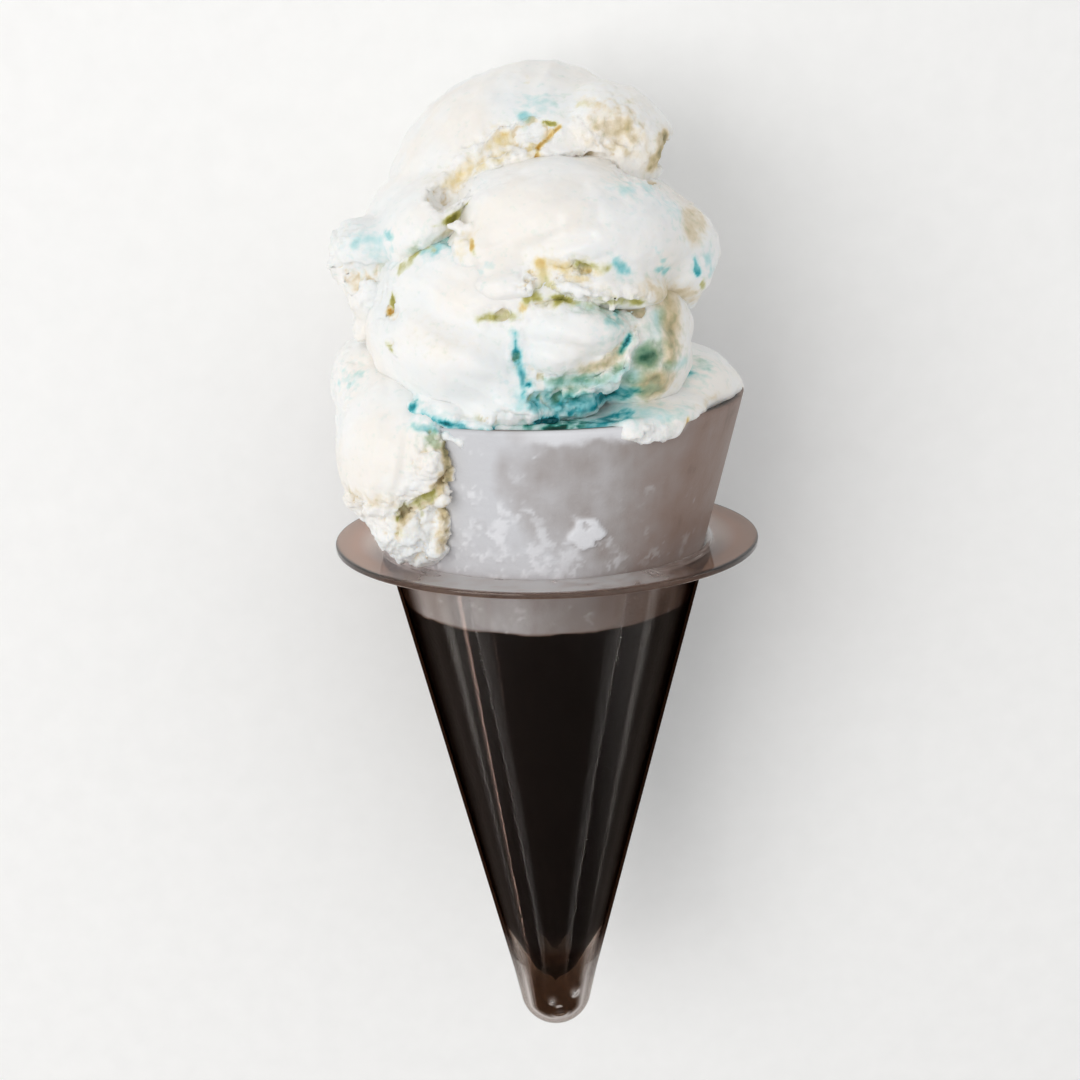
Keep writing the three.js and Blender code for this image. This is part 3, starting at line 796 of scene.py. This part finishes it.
sideLump = {
    "node": "side_lump",
    "voxel": 0.28,
    "lumps": [
        spot((-26.4, 26, 2), (6.4, 7.4, 12)), spot((-25.2, 22.6, 8), (6.6, 8.4, 12)),
        spot((-21.4, 17.5, 12.5), (10.4, 12.6, 15.6)), spot((-17.4, 18.5, 24), (4.4, 8, 4.6)),
        spot((-20.2, 8.6, 19), (6.2, 7, 6.6), turn=10),
    ],
    "dents": [
        *chain([(-21.4, 10.4, 26.2), (-18.5, 12.2, 27), (-16.2, 14, 27.6), (-14.4, 17.8, 28.6)], (1, 1, 2.4)),
        spot((-18.4, 11, 26.8), (0.7, 1.2, 1.6)),
        *chain([(-21.6, 11.4, 26.8), (-21.8, 9.6, 26.4), (-21.9, 7, 26)], (0.7, 0.8, 1.8)),
        *chain([(-16.8, 23.6, 28), (-14.4, 21.6, 29)], (1, 0.8, 2)),
    ],
    "ledges": [
        spot((-20.6, 15.2, 26.4), (2.3, 2.2, 1.7)), spot((-16.4, 18.8, 27.4), (1.7, 2.2, 2.2)),
        spot((-15.2, 13.4, 25.8), (1.5, 1.8, 2.2)), spot((-28.2, 11.6, 18.5), (2.4, 1.5, 3)),
        spot((-24.4, 11.2, 24.2), (2.8, 1.4, 1.7)), spot((-15.4, 8.8, 22.8), (1.8, 3, 2.4), turn=-6),
        spot((-16.6, 5.4, 22.4), (1.6, 2, 2.2)), spot((-20, 3.6, 20.6), (1.6, 1.6, 2.4)),
        spot((-15.6, 21.8, 26.8), (1.5, 2.2, 1.8)),
    ],
    "torn": [
        spot((-20, 7, 18), (14, 8, 16), 1.1), spot((-15.4, 16, 26), (4.6, 9, 6)),
        spot((-30.5, 20, 6), (3, 14, 14), 0.35),
    ],
    # the crumbs' own beige, and painted shade in the crevices
    "beigeAndShade": [
        streak([(-28.6, 13.2, 20), (-25.4, 13, 24.6), (-22.4, 12.8, 26.6)], 1.7, 0.42, soft=1.4, fray=0.4),
        streak([(-21.4, 10, 25), (-18.4, 12.4, 25), (-16, 14.2, 26), (-14.4, 17.4, 27)], 1.4, 0.7, fray=0.4),
        streak([(-21.7, 10, 25), (-21.9, 7, 25)], 0.9, 0.45),
        streak([(-14.8, 12.8, 24), (-15, 9, 23), (-15.8, 5, 22.6)], 1.3, 0.8, soft=1.3, fray=0.4),
        streak([(-14.2, 16, 27), (-14.2, 21.4, 27)], 1.1, soft=1.2, fray=0.3),
        spot((-16.2, 21.8, 27), (2.2, 1.8, 4), 0.6, soft=1.2),
        spot((-21, 8, 25), (6, 6, 6), 0.16, soft=1.3), spot((-27, 17.6, 22), (3, 2, 5), 0.14, soft=1.3),
    ],
    "teal": [
        spot((-28, 28, 11), (3.4, 2, 5), 0.2), spot((-16.8, 23.8, 26), (2.6, 1, 4), 0.5),
        spot((-16.4, 22, 27), (1.8, 1.4, 4), 0.25),
    ],
    # painted warm shade in the crevice
    "amberAndShade": [
        streak([(-19.6, 12.2, 25), (-15.6, 14.6, 26)], 1, 0.4),
        spot((-21.9, 9, 26), (0.7, 0.6, 2), 0.4),
    ],
    # painted olive shade in the crevices
    "oliveShade": [
        streak([(-20.8, 11.6, 25), (-16.4, 13.8, 26)], 1.1, 0.55, soft=1.3),
        streak([(-18.6, 12, 25), (-18.4, 10.2, 25)], 0.7, 0.5, soft=1.3),
        spot((-21.8, 7.8, 25), (1.3, 1.1, 3), 0.42, soft=1.4),
        streak([(-21.8, 11, 25), (-21.9, 9.6, 25)], 0.5, 0.5),
    ],
    "soften": 6,
    "swell": 0.4,
    "drag": 80,
}
heap("sideLump", sideLump)


def spun(profile, steps):
    # a closed shape turned round the axis from radius and height, starting and ending on it
    bm = bmesh.new()
    points = [bm.verts.new((radius, height, 0)) for radius, height in profile]
    edges = [bm.edges.new(pair) for pair in zip(points, points[1:])]
    bmesh.ops.spin(
        bm, geom=points + edges, cent=(0, 0, 0), axis=(0, 1, 0), angle=2 * pi, steps=steps, use_merge=True
    )
    bmesh.ops.remove_doubles(bm, verts=bm.verts, dist=1e-4)
    bmesh.ops.recalc_face_normals(bm, faces=bm.faces)
    return bm


def ringEdges(bm, radius, height):
    # the ring of edges at a radius and height
    level = [v for v in bm.verts if abs(v.co.y - height) < 0.01]
    on = {v for v in level if abs(Vector((v.co.x, v.co.z)).length - radius) < 0.01}
    return [e for e in bm.edges if e.verts[0] in on and e.verts[1] in on]


print("cone")
cone = {
    "mouthRadius": 25,  # outside, at the flange
    "neck": (8.15, -66),  # radius and height
    "end": [(1.3, -75.4), (2.5, -74.9), (3.4, -74)],  # the rounded tip
    "inside": -73.6,  # where the wall ends inside
    "wall": 1.6,
    "frostEdge": -9.2,  # the frost's lower edge
    "relief": 0.12,  # how far frost and crystals stand out
    "shadeRight": 0.78,  # how much the frost is thinned on the right, which paints it browner there as shade
    "rubbed": 0.26,  # and in the rubbed place in front
    "gathered": 0.16,  # how much thicker it is just above the flange
    "flake": spot((5.7, 7.3, 26), (2.8, 2.3, 4), turn=-12),
    "flakeHeight": 0.3,
    "row": 0.36,  # distance of the rows of faces, where there is frost
    "bareRow": 2.5,
    "steps": 448,
}
filling = {"gap": 0.3, "top": rimHeight + 0.3, "steps": 96}


def coneLook():
    # Dark cocoa wafer dipped in chocolate, under hoar frost from the freezer: greyish white and crystalline
    # where the frost is thick, brownish where it is thin. The frost is painted thinner and browner on the
    # right as shade.
    material, tree, shader = newMaterial("frosted cocoa wafer", IOR=1.45, Specular_IOR_Level=0.2)
    here = addNode(tree, "TexCoord").outputs["Object"]
    frost, crystal = (
        addNode(tree, "Attribute", attribute_name=name).outputs["Fac"]
        for name in ("frost", "crystal")
    )
    cloud = addNode(tree, "TexNoise", {"Vector": here, "Scale": 1 / (5 * mm), "Detail": 4})
    uneven = addNode(tree, "MapRange", {"Value": cloud.outputs["Fac"], "To Min": 0.8, "To Max": 1.2})
    thick = addNode(tree, "Math", {0: frost, 1: uneven.outputs[0]}, operation="MULTIPLY").outputs[0]
    rime = rampOf(
        tree,
        thick,
        [(0, "#17100d"), (0.08, "#2a201b"), (0.2, "#8f7a70"), (0.45, "#a69f9d"), (0.9, "#d3d4d8")],
    )
    tree.links.new(colourOver(tree, crystal, rime, "#e8e9ed"), shader.inputs["Base Color"])
    dull = addNode(tree, "MapRange", {"Value": frost, "To Min": 0.4, "To Max": 0.6})
    tree.links.new(dull.outputs[0], shader.inputs["Roughness"])
    grit = addNode(tree, "TexNoise", {"Vector": here, "Scale": 1 / (0.5 * mm), "Detail": 3})
    relief = {"Height": grit.outputs["Fac"], "Strength": 0.35, "Distance": 0.2 * mm}
    tree.links.new(addNode(tree, "Bump", relief).outputs["Normal"], shader.inputs["Normal"])
    return material


def coneRadius(height):
    if height > 0:
        return cone["mouthRadius"] + height * (rimRadius - cone["mouthRadius"]) / rimHeight
    radius, neck = cone["neck"]
    return cone["mouthRadius"] + height * (cone["mouthRadius"] - radius) / -neck


wall = cone["wall"]
neckRadius, neckHeight = cone["neck"]
bare = cone["frostEdge"] - 2
rows = [*np.arange(neckHeight + 2, bare, cone["bareRow"]), *np.arange(bare, rimHeight - 0.3, cone["row"])]
profile = [(0, coneTip), *cone["end"], cone["neck"], *((coneRadius(y), y) for y in rows)]
profile += [(rimRadius, rimHeight), (rimRadius - wall, rimHeight), (coneRadius(0) - wall, 0)]
profile += [(neckRadius - wall, neckHeight), (0, cone["inside"])]
conePiece = objectFrom("frostedCone", spun(profile, cone["steps"]))
mesh = conePiece.data
points, outwards = pointsOf(mesh)
skin = (points[:, 1] > cone["frostEdge"] - 1.5) & ((outwards * points)[:, [0, 2]].sum(1) > 0)
near = points[skin]
height = near[:, 1]
around = np.degrees(np.arctan2(near[:, 0], near[:, 2]))  # 0 at the shown side, 90 to the right
frost = np.zeros(len(points))
crystal = np.zeros(len(points))
# hoar frost, thinner under the flange and in a rubbed place in front, and thinned on the right as painted
# shade
edge = cone["frostEdge"] + 0.25 * fractal(near, 4, 3, 1.0)
rightShade = ease((around + 25) / 75) * ease((150 - around) / 50)
cloud = 0.2 * fractal(near, 5, 4, 8.0) + 0.1 * fractal(near * (1, 0.08, 1), 1.8, 2, 17.0)
rubbed = cone["rubbed"] * ease((height - 3) / 8)
rubbed = rubbed * ease((around + 32) / 40) * ease((24 - around) / 22)
gathered = cone["gathered"] * ease((6 - height) / 4) * ease((height + 1) / 2)
depth = (1 - cone["shadeRight"] * rightShade) * (1 + cloud) * (0.7 + 0.3 * ease((height + 3) / 3))
depth *= 1 - rubbed
depth *= 1 + gathered
frost[skin] = depth * ease((height - edge) / 0.5)
# crystals in ragged flakes, most of them on the left and low
warp = np.stack([fractal(near, 1.6, 3, k + 0.5) for k in range(3)], 1)
patch = 0.7 * cells(near + 0.9 * warp, 2.0, 3.0)[1] + 0.7 * cells(near + 0.5 * warp, 0.9, 9.0)[1]
patch += 0.8 * fractal(near, 4, 3, 6.0) - 0.005 * np.abs(around + 22) - 0.04 * (height - 9)
patch -= 0.8 * ease((1 - height) / 2)
crystal[skin] = 0.9 * ease((patch - 0.1) / 0.6) * frost[skin]
# ice cream smeared along the rim in front
smear = ease((height - rimHeight + 2.6 + fractal(near, 3, 3, 14.0)) / 1.6)
smear *= ease((around + 14) / 16) * ease((44 - around) / 6)
crystal[skin] = np.maximum(crystal[skin], 0.9 * smear)
# one thick flake of ice
crust = ease((1.15 - fromMiddle(near, cone["flake"]) + 0.3 * fractal(near, 2, 2, 5.0)) / 0.3)
crust *= ease((cells(near + 0.5 * warp, 1.3, 8.0)[1] + 0.4) / 0.2)
crystal[skin] = np.maximum(crystal[skin], 0.95 * crust)
relief = cone["relief"] * frost + cone["relief"] * crystal
relief[skin] += 0.05 * frost[skin] * fractal(near, 1.2, 2, 9.0) + cone["flakeHeight"] * crust
setPoints(mesh, points + outwards * relief[:, None])
paint(mesh, "frost", np.clip(frost, 0, 1))
paint(mesh, "crystal", np.clip(crystal, 0, 1))
place(conePiece, "cone", "cocoa_cone", coneLook())

print("filling and what runs over the rim")


def addPlug(piece):
    # what fills the cone, below the lumps that lie on it
    gap = filling["gap"] + wall
    profile = [(0, cone["inside"] + filling["gap"]), (neckRadius - gap, neckHeight)]
    profile += [(coneRadius(0) - gap, 0), (rimRadius - gap, rimHeight)]
    profile += [(rimRadius - gap, filling["top"]), (0, filling["top"])]
    plug = spun(profile, filling["steps"])
    plug.from_mesh(piece.data)
    plug.to_mesh(piece.data)
    plug.free()


spread = {
    "node": "filling",
    "voxel": 0.45,
    "lumps": [
        spot((22.8, 25, -2), (8.6, 5, 16), turn=-18), spot((16, 23.8, 12), (9, 2.6, 14.5)),
        *chain([(11.8, 23.2, 28.3), (15.4, 22.3, 26.6), (18.6, 22.7, 24.6)], (1.9, 1.9, 1.3)),
    ],
    "body": addPlug,
    "torn": [spot((15.6, 21.4, 27), (6, 2.6, 4), 0.6)],
    # painted shade next to the lower ball and on the spread
    "beigeAndShade": [
        streak([(19, 23.4, 23), (24, 24.4, 16), (28, 25, 5)], 1, 0.4, soft=1.3),
        spot((23.6, 29.4, 9), (3.6, 2.2, 6), 0.34, soft=1.4, fray=0.3),
        spot((1.5, 23.6, 26), (5, 1, 5), 0.8),
    ],
    "teal": [
        streak([(5.6, 23.2, 27), (9, 24, 25.4), (12, 24.8, 24.6)], 1, 0.95, soft=1.3),
        streak([(12.6, 25, 25), (20, 24.4, 24.5)], 1.4, 0.22, soft=1.4),
        # teal next to the lower ball, partly the syrup and partly painted shade
        spot((21.8, 28.3, 11), (2.4, 1.5, 5), 0.62, soft=1.3),
        spot((24, 28.8, 8.6), (3.6, 1.8, 6), 0.22, soft=1.3), spot((1.5, 23.6, 26), (5, 1, 5), 1.2),
    ],
    # painted warm shade on the spread and at the drip's edge
    "amberAndShade": [
        streak([(14, 26, 20), (19, 27.4, 15)], 1.4, 0.24),
        streak([(20.6, 23.6, 23), (20.2, 21.6, 23)], 0.4, 1.5, fray=0.2),
    ],
    "oliveShade": [],
    "soften": 3,
    "swell": 0.2,
    "drag": 0,
}
heap("filledMouth", spread)

print("sleeve")
sleeve = {
    "mouthRadius": 25.8,  # outside, at the flange
    "taper": 0.254,  # radius lost for each millimetre towards the tip
    "wall": 0.5,
    "tipRadius": 5.9,
    "tipMiddle": -78.4,
    "lipRound": 0.2,  # bevel of the flange's outer edges
    "cornerRound": 0.9,  # and of the corners where it meets the body
    "darkTipFrom": -66,  # the tip is darkened below it, as painted shade
    "vent": (0.6, -79.6, 5.8),
    "beads": [(-0.6, -77.8, 5.9), (2.8, -76.4, 5.6)],
    "press": 0.45,  # how deep the vent is and how high a bead stands
    "shoulder": -74,  # rows are fine below it, for the vent
    "steps": 192,
}


def sleeveLook():
    # Vacuum-formed clear PET, a little smoky: hard bright glints, and brownish where light goes through. Its
    # sides and tip are painted darker as shade, and a pale sheen is painted where it would mirror light.
    material, tree, shader = newMaterial("smoky clear PET", IOR=1.45)
    here = addNode(tree, "TexCoord").outputs["Object"]
    haze = addNode(tree, "TexNoise", {"Vector": here, "Scale": 1 / (20 * mm), "Detail": 3})
    clear = rampOf(tree, haze.outputs["Fac"], [(0.35, "#f0efee"), (0.65, "#f5f4f3")])
    smokeAndShade, paintedSheen, body = (
        addNode(tree, "Attribute", attribute_name=name).outputs["Fac"]
        for name in ("smokeAndShade", "paintedSheen", "body")
    )
    # the sheet is smokier in the flange, where it is thick; the tip is darkened as painted shade
    tint = rampOf(tree, smokeAndShade, [(0, "#ffffff"), (0.5, "#ba8c73"), (1, "#857061")])
    tint = colourOver(tree, 1, clear, tint, "MULTIPLY")
    # a pale sheen is painted on the flange in front, and a pale highlight on the tip's edge where it turns
    # from view
    slope = addNode(tree, "LayerWeight", {"Blend": 0.5}).outputs["Facing"]
    tip = addNode(tree, "MapRange", {"Value": smokeAndShade, "From Min": 0.75}).outputs[0]
    edgeHighlightShare = addNode(tree, "Math", {0: slope, 1: tip}, operation="MULTIPLY").outputs[0]
    rim = rampOf(tree, edgeHighlightShare, [(0.36, "#000000"), (0.5, "#ffffff"), (0.62, "#c4c4c4"), (0.76, "#000000")])
    tint = colourOver(tree, rim, tint, "#ece5e1")
    tree.links.new(colourOver(tree, paintedSheen, tint, "#e6e5e5"), shader.inputs["Base Color"])
    through = addNode(tree, "MapRange", {"Value": paintedSheen, "To Min": 1, "To Max": 0.42})
    seen = addNode(tree, "Math", {0: rim, 1: -0.6, 2: through.outputs[0]}, operation="MULTIPLY_ADD")
    tree.links.new(seen.outputs[0], shader.inputs["Transmission Weight"])
    blurred = addNode(tree, "MapRange", {"Value": paintedSheen, "To Min": 0.05, "To Max": 0.4})
    tree.links.new(blurred.outputs[0], shader.inputs["Roughness"])
    # the body mirrors little at its sides and is a dark brown film there, as painted shade
    turned = addNode(tree, "MapRange", {"Value": slope, "From Min": 0.15, "From Max": 0.45})
    share = addNode(tree, "Math", {0: turned.outputs[0], 1: body}, operation="MULTIPLY").outputs[0]
    edge = rampOf(tree, slope, [(0.55, "#efebe8"), (0.75, "#705a4d")])
    paintedShadeFilm = addNode(tree, "BsdfTransparent", {"Color": edge}).outputs[0]
    wall = addNode(tree, "MixShader", {0: share, 1: shader.outputs[0], 2: paintedShadeFilm}).outputs[0]
    # lamps shine straight through the thin wall
    rays = addNode(tree, "LightPath").outputs["Is Shadow Ray"]
    straight = addNode(tree, "BsdfTransparent", {"Color": tint}).outputs[0]
    mix = addNode(tree, "MixShader", {0: rays, 1: wall, 2: straight})
    tree.links.new(mix.outputs[0], tree.nodes["Material Output"].inputs["Surface"])
    return material


def roundTip(radius, steps=24):
    # the round end of a profile, from the axis to where the straight side starts
    reach = pi / 2 - atan(sleeve["taper"])
    angles = [i / steps * reach for i in range(steps + 1)]
    return [(radius * sin(a), sleeve["tipMiddle"] - radius * cos(a)) for a in angles]


def straight(start, end, step=2.5):
    # the places between two points of a profile
    start, end = Vector(start), Vector(end)
    count = round((end - start).length / step)
    return [tuple(start.lerp(end, i / count)) for i in range(1, count)]


half = flangeThickness / 2
mouth = sleeve["mouthRadius"]
lip = mouth - sleeve["taper"] * half
throat = mouth + sleeve["taper"] * half - sleeve["wall"]
outside = roundTip(sleeve["tipRadius"])
inside = roundTip(sleeve["tipRadius"] - sleeve["wall"])
shoulder = (mouth + sleeve["taper"] * sleeve["shoulder"], sleeve["shoulder"])
innerShoulder = (shoulder[0] - sleeve["wall"], shoulder[1])
profile = [*outside, *straight(outside[-1], shoulder, 0.4), shoulder, *straight(shoulder, (lip, -half))]
profile += [(lip, -half), (flangeRadius - 1, -half), (flangeRadius, -half), (flangeRadius, half)]
profile += [(flangeRadius - 1, half), *straight((flangeRadius - 1, half), (throat + 1.2, half), 0.7)]
profile += [(throat + 1.2, half), (throat, half)]
profile += [*straight((throat, half), innerShoulder), innerShoulder]
profile += [*straight(innerShoulder, inside[-1], 0.4), *reversed(inside)]
bm = spun(profile, sleeve["steps"])
for radius, height, width in (
    (flangeRadius, -half, sleeve["lipRound"]),
    (flangeRadius, half, sleeve["lipRound"]),
    (throat, half, sleeve["cornerRound"]),
    (lip, -half, sleeve["cornerRound"]),
):
    ring = ringEdges(bm, radius, height)
    bmesh.ops.bevel(bm, geom=ring, offset=width, segments=4, profile=0.5, affect="EDGES", material=-1)
clearSleeve = objectFrom("clearSleeve", bm)
mesh = clearSleeve.data
points = pointsOf(mesh)[0]
radial = points * (1, 0, 1)
radius = np.linalg.norm(radial, axis=1)
# smoky in the flange, darkened in the tip as painted shade, with a painted pale sheen for reflection on the
# flange in front and on the beads
flange = ease((radius - mouth - 1) / (flangeRadius - mouth - 1))
tip = ease((sleeve["darkTipFrom"] - points[:, 1]) / 6)
paint(mesh, "smokeAndShade", (0.3 + 0.4 * flange) * (radius > mouth + 0.5) + tip)
around = np.degrees(np.arctan2(points[:, 0], points[:, 2]))
paintedSheen = ease((56 - np.abs(around + 4)) / 30) * ease(radius - mouth + 1)
paintedSheen *= (points[:, 1] > 0) * (radius < flangeRadius - 0.6)
paintedSheen *= np.clip(0.95 + 0.5 * fractal(points, 2, 3, 2.0), 0, 1)
upTo = ease((-1 - points[:, 1]) / 1.5)
paint(mesh, "body", upTo * (1 - ease((sleeve["darkTipFrom"] - points[:, 1]) / 12)))
# a vent dimple and two beads in the tip, pressed through both faces of the wall
away = np.linalg.norm(points - sleeve["vent"], axis=1)
push = 0.08 * np.exp(-(((away - 1.3) / 0.4) ** 2)) - sleeve["press"] * np.exp(-((away / 0.6) ** 2))
for bead in sleeve["beads"]:
    away = np.linalg.norm(points - bead, axis=1)
    push += sleeve["press"] * np.exp(-((away / 0.7) ** 2))
    # a painted highlight on each bead
    paintedSheen += 0.9 * np.exp(-((away / 0.55) ** 2))
paint(mesh, "paintedSheen", paintedSheen)
setPoints(mesh, points + radial / np.maximum(radius, 0.1)[:, None] * push[:, None])
place(clearSleeve, "sleeve", "clear_plastic", sleeveLook())

size = {"cad": [list(v) for v in cadBounds], "visual": [list(v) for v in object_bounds()]}
